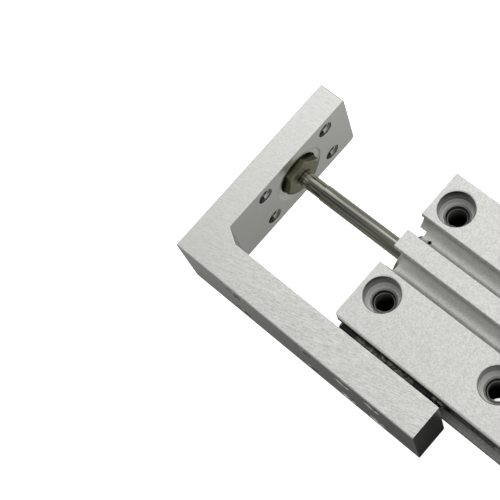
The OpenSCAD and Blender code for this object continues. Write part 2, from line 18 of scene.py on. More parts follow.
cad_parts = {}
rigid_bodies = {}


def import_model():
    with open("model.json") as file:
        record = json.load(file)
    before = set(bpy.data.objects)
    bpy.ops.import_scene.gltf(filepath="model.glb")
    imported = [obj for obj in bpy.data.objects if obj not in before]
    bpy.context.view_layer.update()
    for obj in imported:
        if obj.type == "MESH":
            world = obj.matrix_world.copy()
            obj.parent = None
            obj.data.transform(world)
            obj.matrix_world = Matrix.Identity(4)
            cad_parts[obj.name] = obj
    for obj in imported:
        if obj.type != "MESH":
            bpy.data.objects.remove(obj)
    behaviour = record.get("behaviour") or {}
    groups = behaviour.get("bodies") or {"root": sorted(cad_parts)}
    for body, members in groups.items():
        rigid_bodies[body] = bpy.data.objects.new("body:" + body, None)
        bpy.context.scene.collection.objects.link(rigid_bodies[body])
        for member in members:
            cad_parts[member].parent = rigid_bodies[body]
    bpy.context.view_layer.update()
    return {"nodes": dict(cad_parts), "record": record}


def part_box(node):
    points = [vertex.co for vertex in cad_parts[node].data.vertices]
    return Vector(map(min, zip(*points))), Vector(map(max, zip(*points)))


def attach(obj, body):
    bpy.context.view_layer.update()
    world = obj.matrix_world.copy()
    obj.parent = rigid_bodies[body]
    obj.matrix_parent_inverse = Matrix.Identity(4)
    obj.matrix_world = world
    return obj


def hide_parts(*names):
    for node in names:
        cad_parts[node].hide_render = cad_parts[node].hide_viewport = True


bl_info = {
    "name": "Slide Table Finish",
    "version": (1, 0, 0),
    "blender": (4, 5, 0),
    "location": "3D Viewport > Sidebar > Slide Table",
    "description": "Materials, threads, screws and studio for a pneumatic slide table",
    "category": "Object",
}

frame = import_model()
MM = 0.001

CYLINDER = "cylinder"
TABLE = "table"

# The aluminium piece of each body, and its finish in the record
METALS = {
    CYLINDER: ("cylinder_body", "body_aluminium"),
    TABLE: ("table_plate", "table_aluminium"),
}

# The bore axis
AXIS_Y = sum(corner.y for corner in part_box("rod_cover")) / 2
AXIS_Z = sum(corner.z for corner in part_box("rod_cover")) / 2

# Sizes of the solids that their boxes do not give
COUNTERBORE_R = 4.0 * MM
COUNTERBORE_DEPTH = 4.4 * MM
ARM_GAP = 1.3 * MM
ARM_HOLE_DEPTH = 6.0 * MM
NUT_PROUD = 1.3 * MM

# The seats of the counterbores, and the end plate's face towards the body
SEAT_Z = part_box("cylinder_body")[1].z - COUNTERBORE_DEPTH
PLATE_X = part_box("rod_nut")[0].x + NUT_PROUD

# The milling marks grow from weak to full between these two places along the stroke
MILL_FADE = (68 * MM, 50 * MM)

# A hole's look reaches this far into the metal round it
WALL_MARGIN = 0.02 * MM

# How far inside a hole its thread starts, and how much shorter than the hole it is
THREAD_START = 0.3 * MM
PORT_CUT = 0.5 * MM
PLATE_START = 0.9 * MM
PLATE_CUT = 1.15 * MM
ARM_START = 0.25 * MM
ARM_THREAD = 5.2 * MM

# Socket head screws: diameters of thread and head, height of the head, key size and pitch
FIXING_SCREW = {
    "thread": 2.0 * MM,
    "head": 3.8 * MM,
    "height": 2.0 * MM,
    "key": 1.5 * MM,
    "pitch": 0.4 * MM,
}
CAP_SCREW = {
    "thread": 1.4 * MM,
    "head": 2.4 * MM,
    "height": 0.9 * MM,
    "key": 0.7 * MM,
    "pitch": 0.3 * MM,
}
LOW_SCREW = {
    "thread": 3.0 * MM,
    "head": 5.5 * MM,
    "height": 1.6 * MM,
    "key": 2.0 * MM,
    "pitch": 0.5 * MM,
}
HEAD_FACETS = 96
DRILL_POINT = 0.15 * MM

# How many screws hold the rail, and how deep a cap screw goes into the steel block
RAIL_SCREWS = 4
CAP_SCREW_BITE = 1.8 * MM

# Soft lights: where each stands, its side, and the point that both face
KEY_PLACE, KEY_SIDE = (0.06, -0.55, 0.50), 0.40
FILL_PLACE, FILL_SIDE = (-0.45, -0.20, 0.30), 0.30
LIGHT_AIM = (0.02, 0.0, 0.01)

# The floor and the shade card lie just under the part
FLOOR_Z = -0.02 * MM
SHADE_Z = -0.01 * MM

# Level of the sky against its bearing from the port side, -1, to the guide side, 1
SKY_LEVELS = (
    (-1.0, 0.25),
    (-0.85, 0.42),
    (-0.72, 0.85),
    (-0.62, 1.0),
    (-0.25, 0.97),
    (-0.15, 0.74),
    (-0.05, 0.48),
    (0.03, 0.30),
    (0.12, 0.18),
    (0.22, 0.16),
    (0.28, 0.30),
    (0.36, 0.30),
    (0.42, 0.06),
    (0.52, 0.06),
    (0.60, 0.33),
    (0.72, 0.12),
    (0.85, 0.33),
    (1.0, 0.42),
)

# Level of the even sky straight above the part and beyond its two ends
OPEN_SKY = 0.80


# ------------------------------------------------------------------ settings
def colour(name, description, default):
    """A colour property."""
    return FloatVectorProperty(
        name=name,
        description=description,
        default=default,
        size=3,
        min=0.0,
        max=1.0,
        subtype="COLOR",
    )


def number(name, description, default, **more):
    """A property from 0 up."""
    return FloatProperty(name=name, description=description, default=default, min=0.0, **more)


def share(name, description, default):
    """A property from 0 to 1."""
    return number(name, description, default, max=1.0, subtype="FACTOR")


def length(name, description, default):
    """A length property in metres."""
    return number(name, description, default, unit="LENGTH", precision=6)


def whole(name, description, default, low, high):
    """A whole number property."""
    return IntProperty(name=name, description=description, default=default, min=low, max=high)


class FinishSettings(PropertyGroup):
    """Colours and surface finishes."""

    body_metal: colour("Body Aluminium", "Colour of the body's clear anodising", (0.56, 0.56, 0.545))
    table_metal: colour("Table Aluminium", "Colour of the table's clear anodising", (0.545, 0.545, 0.531))
    # Painted shade: darker and lighter colours of the mottled shade on the inner corner web
    web_shade_dark: colour("Web Dark", "Darker colour in the table's inner corner", (0.20, 0.20, 0.18))
    web_shade_light: colour("Web Light", "Lighter colour in the table's inner corner", (0.38, 0.38, 0.35))
    grain_size: length("Blast Grain", "Size of the bead-blasted grain", 0.36 * MM)
    grain_depth: length("Grain Depth", "Depth of the bead-blasted grain", 0.006 * MM)
    # Painted shade: how dark the counterbore walls are painted against the body
    hole_wall_shade: share("Hole Walls", "Brightness of the bored hole walls against the body", 0.17)
    # Painted shade: how dark the threads in the holes are painted against their piece
    thread_shade: share("Thread Walls", "Brightness of the threads against their piece", 0.40)
    # Painted shade: how dark the guide side is painted against the body
    guide_side_shade: share("Guide Side", "Brightness of the body's guide side against the body", 0.12)
    body_roughness: share("Body Roughness", "Roughness of the bead-blasted body", 0.44)
    table_roughness: share("Table Roughness", "Roughness of the milled table", 0.29)
    mill_pitch: length("Mill Pitch", "Spacing of the milling marks on the table", 0.21 * MM)
    mill_angle: FloatProperty(
        name="Mill Angle",
        description="Angle of the milling marks to the arm",
        default=math.radians(16),
        subtype="ANGLE",
    )
    edge_radius: length("Edge Radius", "Radius that softens machined edges", 0.18 * MM)
    cover_metal: colour("Covers", "Colour of the turned covers", (0.46, 0.46, 0.44))
    steel: colour("Guide Steel", "Colour of the ground guide steel", (0.30, 0.30, 0.29))
    # Painted shade: the carriage steel is painted far darker than the rail's, for the shade it stands in
    # beside the arm
    carriage_shaded_steel: colour("Carriage Steel", "Colour of the darker carriage steel", (0.08, 0.08, 0.07))
    dark_steel: colour("Screw Steel", "Colour of the dark screws", (0.16, 0.16, 0.155))
    plain_steel: colour("Plain Steel", "Colour of rings, nuts and washers", (0.50, 0.50, 0.48))
    chrome: colour("Chrome", "Colour of the hard chromed rod", (0.255, 0.255, 0.225))
    rod_roughness: share("Rod Roughness", "Roughness of the polished rod", 0.09)
    nut: colour("Rod Nut", "Colour of the olive passivated rod nut", (0.17, 0.17, 0.115))
    bronze: colour("Bronze", "Colour of the sintered bush", (0.34, 0.27, 0.16))
    rubber: colour("Rubber", "Colour of seals and O-rings", (0.012, 0.012, 0.012))
    plastic: colour("Plastic", "Colour of the moulded end caps", (0.007, 0.007, 0.008))
    wear_band: colour("Wear Band", "Colour of the piston's wear ring", (0.55, 0.50, 0.38))
    magnet: colour("Magnet", "Colour of the ceramic magnet", (0.05, 0.05, 0.055))


class ThreadSettings(PropertyGroup):
    """Sizes of the cut threads."""

    body_pitch: length("Body Thread Pitch", "Pitch of the M5 threads", 0.8 * MM)
    table_pitch: length("Table Thread Pitch", "Pitch of the M4 threads", 0.7 * MM)
    depth: share("Thread Depth", "Depth of a thread as a share of its pitch", 0.54)
    facets: whole("Facets", "Facets in one turn of a thread", 40, 12, 96)


class ScrewSettings(PropertyGroup):
    """Details of the socket head screws."""

    knurls: whole("Knurls", "Ridges round a screw head", 24, 12, 48)
    knurl_depth: length("Knurl Depth", "Depth of the ridges on a screw head", 0.05 * MM)
    edge: length("Head Edge", "Chamfer on a screw head's top edge", 0.16 * MM)


class StudioSettings(PropertyGroup):
    """Floor, lights and camera."""

    floor_colour: colour("Floor", "Colour of the plain floor", (0.94, 0.94, 0.94))
    floor_glow: number("Floor Glow", "Glow that keeps the floor pale", 0.85)
    shade_rim: length("Shade Rim", "How far the part's shadow reaches past it", 0.4 * MM)
    floor_size: length("Floor Size", "Side of the floor", 4.0)
    key_power: number("Key Power", "Power of the overhead softbox", 0.6, unit="POWER")
    fill_power: number("Fill Power", "Power of the side softbox", 0.15, unit="POWER")
    sky: colour("Sky", "Colour of the light from above", (1.0, 1.0, 0.985))
    sky_strength: number("Sky Strength", "Strength of the light from above", 1.55)
    backdrop: number("Backdrop", "Brightness of the plain backdrop behind the floor", 1.1)
    ground: colour("Ground", "Colour of the light from below", (0.61, 0.62, 0.59))
    lens: number("Lens", "Focal length", 95.264, unit="CAMERA")
    camera_place: FloatVectorProperty(
        name="Camera Place",
        description="Where the camera stands",
        default=(-0.04401, 0.05858, 0.2791),
        subtype="TRANSLATION",
    )
    camera_turn: FloatVectorProperty(
        name="Camera Turn",
        description="How the camera is turned",
        default=(-0.337502, -0.150388, 0.129024, 0.920233),
        size=4,
        subtype="QUATERNION",
    )


# ------------------------------------------------------------------ shader writing
class Wire:
    """A value in a shader. Arithmetic on it adds Math nodes, and node() adds any other node."""

    def __init__(self, tree, socket=None):
        self.tree = tree
        self.socket = socket

    def node(self, kind, settings=None, inputs=None, output=0):
        """Adds a node: first its settings, then the values or links of its sockets.

        Returns one of its outputs, or the node itself if it has none."""
        made = self.tree.nodes.new("ShaderNode" + kind)
        for key, value in (settings or {}).items():
            if key == "stops":
                band = made.color_ramp
                while len(band.elements) < len(value):
                    band.elements.new(0.5)
                for element, (position, shade) in zip(band.elements, value):
                    element.position = position
                    element.color = (*shade, 1.0)
            else:
                setattr(made, key, value)
        for key, value in (inputs or {}).items():
            if isinstance(value, Wire):
                self.tree.links.new(value.socket, made.inputs[key])
            else:
                made.inputs[key].default_value = value
        return Wire(self.tree, made.outputs[output]) if made.outputs else made

    def math(self, operation, first, second=0.0):
        """Adds a Math node."""
        return self.node("Math", {"operation": operation}, {0: first, 1: second})

    def __add__(self, other):
        return self.math("ADD", self, other)

    def __radd__(self, other):
        return self.math("ADD", other, self)

    def __sub__(self, other):
        return self.math("SUBTRACT", self, other)

    def __rsub__(self, other):
        return self.math("SUBTRACT", other, self)

    def __mul__(self, other):
        return self.math("MULTIPLY", self, other)

    def __rmul__(self, other):
        return self.math("MULTIPLY", other, self)

    def __pow__(self, other):
        return self.math("POWER", self, other)


def rgba(shade, factor=1.0):
    """A colour with alpha, scaled by a factor."""
    return tuple(min(1.0, c * factor) for c in shade[:3]) + (1.0,)


def new_material(name):
    """A material with an empty tree. Returns it and a Wire to build with."""
    material = bpy.data.materials.new(name)
    material.use_nodes = True
    material.node_tree.nodes.clear()
    return material, Wire(material.node_tree)


def parts_of(w, vector):
    """The three numbers of a vector."""
    node = w.node("SeparateXYZ", inputs={"Vector": vector}).socket.node
    return [Wire(w.tree, node.outputs[axis]) for axis in "XYZ"]


def axes_of(w):
    """Object coordinates as three numbers."""
    return parts_of(w, w.node("TexCoord", output="Object"))


def axis_radius(w):
    """Distance from the bore axis."""
    _, y, z = axes_of(w)
    y = y - AXIS_Y
    z = z - AXIS_Z
    return (y * y + z * z) ** 0.5


def place(w, size=(1, 1, 1), turn=(0, 0, 0)):
    """Object coordinates in cells of a size, on axes that are turned."""
    here = w.node("TexCoord", output="Object")
    return w.node(
        "Mapping", {"vector_type": "TEXTURE"}, {"Vector": here, "Rotation": turn, "Scale": size}
    )


def noise(w, vector, scale, detail=2.0, roughness=0.5):
    """A noise value at a vector, with this many cells in each unit of it."""
    return w.node(
        "TexNoise",
        {"noise_dimensions": "3D"},
        {"Vector": vector, "Scale": scale, "Detail": detail, "Roughness": roughness},
    )


def ramp(w, value, start, end, **settings):
    """Goes from 0 to 1 as a value goes from a start to an end."""
    return w.node("MapRange", settings, {"Value": value, "From Min": start, "From Max": end})


def blend_colour(w, factor, first, second):
    """A mix of two colours by a factor."""
    return w.node("Mix", {"data_type": "RGBA"}, {0: factor, 6: first, 7: second}, 2)


def bump(w, height, distance, strength, normal=None):
    """A normal from a height that runs from 0 to 1, over a real distance."""
    inputs = {"Height": height, "Distance": distance, "Strength": strength}
    if normal is not None:
        inputs["Normal"] = normal
    return w.node("Bump", None, inputs)


def soft_edges(w, radius):
    """A normal that rounds the sharp edges of a machined piece."""
    return w.node("Bevel", {"samples": 6}, {"Radius": radius})


def close(w, base, roughness, metallic, normal=None, **constants):
    """Ends a material in a Principled shader."""
    inputs = {"Base Color": base, "Roughness": roughness, "Metallic": metallic}
    if normal is not None:
        inputs["Normal"] = normal
    inputs.update({key.replace("_", " "): value for key, value in constants.items()})
    shader = w.node("BsdfPrincipled", None, inputs)
    w.node("OutputMaterial", None, {"Surface": shader})


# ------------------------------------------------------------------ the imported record
def mount(name):
    """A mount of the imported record."""
    return next(m for m in frame["record"]["mounts"] if m["name"] == name)


def radius_of(name):
    """The wall radius of a mount's holes."""
    return mount(name)["dims"]["hole_r_mm"] * MM


def spacing_of(name):
    """The spacing of a mount's holes both ways, or 0 the way there is one row."""
    return [mount(name)["dims"].get(key, 0.0) * MM for key in ("spacing_x_mm", "spacing_y_mm")]


def pattern(name):
    """The hole centres of a bolt pattern, at the height of its stated position."""
    m = mount(name)
    centre, axis = Vector(m["pos_m"]), Vector(m["axis"])
    ways = [v for v in (Vector((1, 0, 0)), Vector((0, 1, 0)), Vector((0, 0, 1))) if abs(v.dot(axis)) < 0.5]
    half = [gap / 2 for gap in spacing_of(name)]
    signs = [(-1, 1) if h > 0 else (0,) for h in half]
    return [centre + ways[0] * half[0] * a + ways[1] * half[1] * b for a in signs[0] for b in signs[1]]


# ------------------------------------------------------------------ finishes
# In each of these, w adds the nodes of the new material and s holds the finish settings
def near_holes(w, first, second, centre, spacing, reach):
    """1 within reach of two by two holes about a centre, and 0 away from them."""
    first = w.math("ABSOLUTE", first - centre[0]) - spacing[0] / 2
    second = w.math("ABSOLUTE", second - centre[1]) - spacing[1] / 2
    return ramp(w, (first * first + second * second) ** 0.5, reach + 0.05 * MM, reach)


def blasted_aluminium(name, s):
    """Clear anodised aluminium with a fine bead-blasted grain; its turned hole walls and threads carry
    painted shade, its counterbore seats a painted highlight, and its guide side painted shade.
    """
    material, w = new_material(name)
    x, y, z = axes_of(w)
    metal = s.body_metal
    grain = noise(w, place(w), 1 / s.grain_size, 2.0, 0.7)
    patch = noise(w, place(w), 160.0, 3.0)
    tone = blend_colour(w, (grain - 0.5) * 3.0 + 0.5, rgba(metal, 0.80), rgba(metal, 1.16))
    tone = blend_colour(w, patch * 0.35, tone, rgba(metal, 0.96))

    # The mounting holes: a turned counterbore down to a blasted seat, and a thread under it. Their walls
    # carry painted shade and their seats a painted highlight.
    centre, spacing = mount("body_holes")["pos_m"], spacing_of("body_holes")
    reach = COUNTERBORE_R + WALL_MARGIN
    wall = near_holes(w, x, y, centre, spacing, reach)
    middle = near_holes(w, x, y, centre, (0.0, spacing[1]), reach)
    wall = w.math("MAXIMUM", wall, middle)
    # Painted shade: the counterbore walls are painted dark, with turning rings through the shade
    rings = noise(w, place(w, (0.01, 0.01, 0.2 * MM)), 1.0, 2.0)
    low, high = rgba(metal, s.hole_wall_shade * 0.4), rgba(metal, s.hole_wall_shade * 1.7)
    bored_wall_shade = blend_colour(w, (rings - 0.5) * 4.5 + 0.5, low, high)
    turned = wall * ramp(w, z, SEAT_Z + 0.05 * MM, SEAT_Z + 0.1 * MM)
    tone = blend_colour(w, turned, tone, bored_wall_shade)
    # Painted shade: the thread under the seat is painted darker the deeper it lies, near black at the bore
    # axis height
    cut = wall * ramp(w, z, SEAT_Z - 0.4 * MM, SEAT_Z - 0.6 * MM) * ramp(w, z, 0.05 * MM, 0.2 * MM)
    sunk = blend_colour(w, ramp(w, z, AXIS_Z, SEAT_Z), rgba(metal, 0.02), rgba(metal, s.thread_shade))
    tone = blend_colour(w, cut, tone, sunk)
    # Painted highlight: the counterbore seat is painted brighter than the body, and is also made rougher
    above_cut = ramp(w, z, SEAT_Z - 0.5 * MM, SEAT_Z - 0.4 * MM)
    seat_ledge_highlight = wall * above_cut * ramp(w, z, SEAT_Z + 0.1 * MM, SEAT_Z + 0.05 * MM)
    tone = blend_colour(w, seat_ledge_highlight, tone, rgba(metal, 1.15))

    # Painted shade: the guide side is painted dark, as it stands close to the arm
    guide_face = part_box("cylinder_body")[1].y
    side = ramp(w, y, guide_face - 0.20 * MM, guide_face - 0.03 * MM)
    tone = blend_colour(w, side, tone, rgba(metal, s.guide_side_shade))
    normal = bump(w, grain, s.grain_depth * 3.0, 0.5, soft_edges(w, s.edge_radius))
    rough = s.body_roughness + (grain - 0.5) * 0.18 + (patch - 0.5) * 0.06
    close(w, tone, rough - turned * 0.22 + seat_ledge_highlight * 0.15, 1.0, normal)
    return material


def milled_aluminium(name, s):
    """Clear anodised aluminium with fine slanting milling marks on its level faces, painted shade in its
    threaded holes and a mottled painted shade on the inner corner web.
    """
    material, w = new_material(name)
    x, y, z = axes_of(w)
    nx, ny, nz = parts_of(w, w.node("NewGeometry", output="Normal"))
    metal = s.table_metal

    # The marks are strongest on level faces, and fade towards the end plate
    level = ramp(w, w.math("ABSOLUTE", nz), 0.3, 0.8) * (0.35 + 0.65 * ramp(w, x, *MILL_FADE))
    slant = (0.0, 0.0, s.mill_angle)
    fine, wide = s.mill_pitch, s.mill_pitch * 2.6
    lines = noise(w, place(w, (fine * 8, fine, fine), slant), 1.0, 2.0, 0.6)
    grain = noise(w, place(w), 1 / (s.grain_size * 0.8), 2.0, 0.7)
    wave = noise(w, place(w, (s.mill_pitch * 45, wide, wide), slant), 1.0, 1.0)
    ridge = ramp(w, w.math("ABSOLUTE", wave - 0.5), 0.075, 0.0)
    marks = lines * 0.5 + grain * 0.5
    contrast = 0.8 + level * 2.6
    tone = blend_colour(w, (marks - 0.5) * contrast + 0.5, rgba(metal, 0.74), rgba(metal, 1.24))
    tone = blend_colour(w, ridge * level * 0.5, tone, rgba(metal, 1.30))

    # The threads of the end plate and of the arm, painted in shade
    centre = mount("end_plate_holes")["pos_m"]
    reach = radius_of("end_plate_holes") + WALL_MARGIN
    lip = PLATE_X + PLATE_START
    end = near_holes(w, y, z, centre[1:], spacing_of("end_plate_holes"), reach)
    end = end * ramp(w, x, lip, lip + 0.1 * MM)
    centre = mount("arm_holes")["pos_m"]
    bottom = centre[1] - ARM_HOLE_DEPTH
    arm = near_holes(w, x, z, (centre[0], centre[2]), spacing_of("arm_holes"), reach)
    arm = arm * ramp(w, y, bottom - 0.1 * MM, bottom)
    wall = w.math("MAXIMUM", end, arm)
    tone = blend_colour(w, wall, tone, rgba(metal, s.thread_shade))

    # The slanting web in the inner corner is painted darker in mottled shade
    blotch = noise(w, place(w), 900.0, 3.0)
    skin = blend_colour(w, (blotch - 0.5) * 2.0 + 0.5, rgba(s.web_shade_dark), rgba(s.web_shade_light))
    tone = blend_colour(w, ramp(w, nx * ny, 0.25, 0.45), tone, skin)
    normal = bump(w, marks, s.grain_depth * 3.0, 0.5, soft_edges(w, s.edge_radius))
    rough = s.table_roughness + (lines - 0.5) * 0.2 * level
    close(w, tone, rough - wall * 0.08, 1.0, normal)
    return material


def turned_metal(name, shade, roughness, s, ring=0.12 * MM):
    """Metal with fine rings about the bore axis."""
    material, w = new_material(name)
    inputs = {"W": axis_radius(w), "Scale": 1 / ring, "Detail": 2.0}
    rings = w.node("TexNoise", {"noise_dimensions": "1D"}, inputs)
    patch = noise(w, place(w), 400.0, 2.0)
    tone = blend_colour(w, rings * 0.5 + patch * 0.5, rgba(shade, 0.86), rgba(shade, 1.14))
    normal = bump(w, rings, 0.004 * MM, 0.6, soft_edges(w, s.edge_radius * 0.6))
    close(w, tone, roughness + (rings - 0.5) * 0.15, 1.0, normal)
    return material


def drawn_metal(name, shade, roughness, s, pitch=0.08 * MM, depth=0.003 * MM, mottle=0.0):
    """Metal with fine grinding lines along the stroke; where it is mottled, dark stain spots and bright spots
    of painted glint.
    """
    material, w = new_material(name)
    lines = noise(w, place(w, (pitch * 60, pitch, pitch)), 1.0, 2.0, 0.6)
    patch = noise(w, place(w), 260.0, 3.0)
    tone = blend_colour(w, lines * 0.6 + patch * 0.4, rgba(shade, 0.85), rgba(shade, 1.12))
    if mottle:
        spots = noise(w, place(w), 1500.0, 3.0, 0.7)
        tone = blend_colour(w, ramp(w, spots, 0.46, 0.60) * mottle, tone, rgba(shade, 0.10))
        # Painted highlight: bright glint spots in the mottle
        tone = blend_colour(w, ramp(w, spots, 0.38, 0.30) * mottle, tone, rgba(shade, 3.2))
    normal = bump(w, lines, depth, 0.5, soft_edges(w, s.edge_radius * 0.5))
    close(w, tone, roughness + (patch - 0.5) * 0.18 + (lines - 0.5) * 0.1, 1.0, normal)
    return material


def polished_rod(name, s):
    """Hard chrome with fine grinding rings round the rod, and strong light and dark streaks along it that are
    partly drag lines and partly painted reflection.
    """
    material, w = new_material(name)
    rings = noise(w, place(w, (0.05 * MM, 0.02, 0.02)), 1.0, 2.0)
    film = noise(w, place(w), 220.0, 3.0)
    drag_and_reflection_streaks = noise(w, place(w, (24 * MM, 0.42 * MM, 0.42 * MM)), 1.0, 2.0, 0.6)
    # Partly painted reflection: light and dark streaks along the rod, partly drag lines
    tone = blend_colour(w, (drag_and_reflection_streaks - 0.5) * 3.0 + 0.5, rgba(s.chrome, 0.35), rgba(s.chrome, 1.65))
    tone = blend_colour(w, film * 0.3, tone, rgba(s.chrome, 0.9))
    normal = bump(w, rings, 0.0008 * MM, 0.4)
    close(w, tone, s.rod_roughness + (film - 0.5) * 0.08, 1.0, normal)
    return material


def soft_black(name, shade, roughness, grain, s):
    """Black rubber or moulded plastic with a fine matt skin."""
    material, w = new_material(name)
    skin = noise(w, place(w), 1 / grain, 3.0, 0.6)
    patch = noise(w, place(w), 300.0, 2.0)
    tone = blend_colour(w, patch, rgba(shade, 0.8), rgba(shade, 1.4))
    normal = bump(w, skin, 0.01 * MM, 0.5, soft_edges(w, s.edge_radius))
    close(w, tone, roughness + (skin - 0.5) * 0.12, 0.0, normal, Specular_IOR_Level=0.25)
    return material


def speckled(name, shade, dark, roughness, metallic, grain):
    """A sintered or filled material with a fine speckle."""
    material, w = new_material(name)
    cells = w.node("TexVoronoi", {"feature": "F1"}, {"Vector": place(w), "Scale": 1 / grain})
    fleck = noise(w, place(w), 1 / grain, 2.0)
    tone = blend_colour(w, cells * 0.7 + fleck * 0.3, rgba(dark), rgba(shade))
    normal = bump(w, cells, 0.006 * MM, 0.5)
    close(w, tone, roughness + (fleck - 0.5) * 0.2, metallic, normal)
    return material


def paint(material, *nodes):
    """Gives CAD nodes a finish."""
    for node in nodes:
        target = frame["nodes"][node]
        if not target.material_slots:
            target.data.materials.append(material)
        for slot in target.material_slots:
            slot.material = material


# ------------------------------------------------------------------ mesh and geometry node helpers
def link(name, data):
    """A new object for a mesh, a lamp or a camera, in the scene."""
    thing = bpy.data.objects.new(name, data)
    bpy.context.scene.collection.objects.link(thing)
    return thing


def hole_points(name, places, axis):
    """A host mesh with one point for each hole, and the axis of each as an attribute."""
    mesh = bpy.data.meshes.new(name)
    mesh.from_pydata([tuple(p) for p in places], [], [])
    way = mesh.attributes.new("hole_axis", "FLOAT_VECTOR", "POINT")
    axes = axis if isinstance(axis, list) else [axis] * len(places)
    for item, value in zip(way.data, axes):
        item.vector = value
    return link(name, mesh)


class GeometryTree:
    """A geometry node tree with named inputs."""

    def __init__(self, name, inputs):
        self.tree = bpy.data.node_groups.new(name, "GeometryNodeTree")
        face = self.tree.interface
        face.new_socket("Geometry", in_out="OUTPUT", socket_type="NodeSocketGeometry")
        face.new_socket("Points", in_out="INPUT", socket_type="NodeSocketGeometry")
        self.ids = {}
        for label, kind in inputs:
            socket = face.new_socket(label, in_out="INPUT", socket_type="NodeSocket" + kind)
            self.ids[label] = socket.identifier
        self.source = self.tree.nodes.new("NodeGroupInput")

    def of(self, label):
        """The output of the group input with that label."""
        return self.source.outputs[label]

    def add(self, kind, settings=None, inputs=None):
        """Adds a node and returns it."""
        made = self.tree.nodes.new(kind)
        for key, value in (settings or {}).items():
            setattr(made, key, value)
        for key, value in (inputs or {}).items():
            if isinstance(value, bpy.types.NodeSocket):
                self.tree.links.new(value, made.inputs[key])
            else:
                made.inputs[key].default_value = value
        return made

    def value(self, operation, first, second):
        """Adds a Math node and returns its output."""
        return self.add("ShaderNodeMath", {"operation": operation}, {0: first, 1: second}).outputs[0]

    def scatter(self, instance):
        """Puts an instance on each point, turned along its axis, makes it real and gives it its finish."""
        way = self.add(
            "GeometryNodeInputNamedAttribute", {"data_type": "FLOAT_VECTOR"}, {"Name": "hole_axis"}
        )
        turn = self.add(
            "FunctionNodeAlignRotationToVector", {"axis": "Z"}, {"Vector": way.outputs["Attribute"]}
        )
        spread = self.add(
            "GeometryNodeInstanceOnPoints",
            None,
            {"Points": self.of("Points"), "Instance": instance, "Rotation": turn.outputs["Rotation"]},
        )
        real = self.add("GeometryNodeRealizeInstances", None, {"Geometry": spread.outputs["Instances"]})
        coated = self.add(
            "GeometryNodeSetMaterial",
            None,
            {"Geometry": real.outputs["Geometry"], "Material": self.of("Material")},
        )
        self.add("NodeGroupOutput", None, {"Geometry": coated.outputs["Geometry"]})


def grow(host, tree, values, name, body):
    """Runs a geometry tree on a host, keeps the result as a plain mesh and sets it on its body."""
    modifier = host.modifiers.new(tree.tree.name, "NODES")
    modifier.node_group = tree.tree
    for label, value in values.items():
        modifier[tree.ids[label]] = value
    graph = bpy.context.evaluated_depsgraph_get()
    mesh = bpy.data.meshes.new_from_object(host.evaluated_get(graph), depsgraph=graph)
    host.modifiers.remove(modifier)
    bpy.data.objects.remove(host)
    if not mesh.polygons:
        raise RuntimeError(name + " came out empty")
    mesh.name = name
    piece = link(name, mesh)
    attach(piece, body)
    return piece


def coil_tree():
    """One thread: a ridge that winds up a hole's wall."""
    tree = GeometryTree(
        "thread_coil",
        [
            ("Wall Radius", "Float"),
            ("Depth", "Float"),
            ("Pitch", "Float"),
            ("Turns", "Float"),
            ("Facets", "Int"),
            ("Material", "Material"),
        ],
    )
    sunk = tree.value("MULTIPLY", tree.of("Depth"), 0.06)
    tall = tree.value("ADD", tree.of("Depth"), sunk)
    half = tree.value("MULTIPLY", tall, 0.5)
    middle = tree.value("SUBTRACT", tree.value("ADD", tree.of("Wall Radius"), sunk), half)
    spiral = tree.add(
        "GeometryNodeCurveSpiral",
        None,
        {
            "Resolution": tree.of("Facets"),
            "Rotations": tree.of("Turns"),
            "Start Radius": middle,
            "End Radius": middle,
            "Height": tree.value("MULTIPLY", tree.of("Pitch"), tree.of("Turns")),
        },
    )
    upright = tree.add("GeometryNodeSetCurveNormal", {"mode": "Z_UP"}, {"Curve": spiral.outputs["Curve"]})
    ridge = tree.add(
        "GeometryNodeCurvePrimitiveQuadrilateral",
        {"mode": "TRAPEZOID"},
        {
            "Height": tall,
            "Bottom Width": tree.value("MULTIPLY", tree.of("Pitch"), 0.86),
            "Top Width": tree.value("MULTIPLY", tree.of("Pitch"), 0.16),
            "Offset": 0.0,
        },
    )
    turned = tree.add(
        "GeometryNodeTransform",
        None,
        {"Geometry": ridge.outputs["Curve"], "Rotation": (0.0, 0.0, math.pi / 2)},
    )
    swept = tree.add(
        "GeometryNodeCurveToMesh",
        None,
        {"Curve": upright.outputs["Curve"], "Profile Curve": turned.outputs["Geometry"], "Fill Caps": True},
    )
    tree.scatter(swept.outputs["Mesh"])
    return tree


def set_tree():
    """Copies of one piece, one for each point."""
    tree = GeometryTree("screw_set", [("Screw", "Object"), ("Material", "Material")])
    shape = tree.add(
        "GeometryNodeObjectInfo", {"transform_space": "ORIGINAL"}, {"Object": tree.of("Screw")}
    )
    tree.scatter(shape.outputs["Geometry"])
    return tree


def rings_mesh(name, rings, facets):
    """A closed turned mesh. Each ring is a radius, or a function of the angle, and a height."""
    shape = bmesh.new()
    loops = []
    for radius, height in rings:
        loop = []
        for i in range(facets):
            angle = 2 * math.pi * i / facets
            r = radius(angle) if callable(radius) else radius
            loop.append(shape.verts.new((r * math.cos(angle), r * math.sin(angle), height)))
        loops.append(loop)
    for lower, upper in zip(loops, loops[1:]):
        for i in range(facets):
            j = (i + 1) % facets
            shape.faces.new((lower[i], lower[j], upper[j], upper[i]))
    foot = shape.verts.new((0, 0, rings[0][1]))
    crown = shape.verts.new((0, 0, rings[-1][1] - DRILL_POINT))
    for i in range(facets):
        j = (i + 1) % facets
        shape.faces.new((foot, loops[0][j], loops[0][i]))
        shape.faces.new((crown, loops[-1][i], loops[-1][j]))
    bmesh.ops.recalc_face_normals(shape, faces=shape.faces)
    mesh = bpy.data.meshes.new(name)
    shape.to_mesh(mesh)
    shape.free()
    return mesh


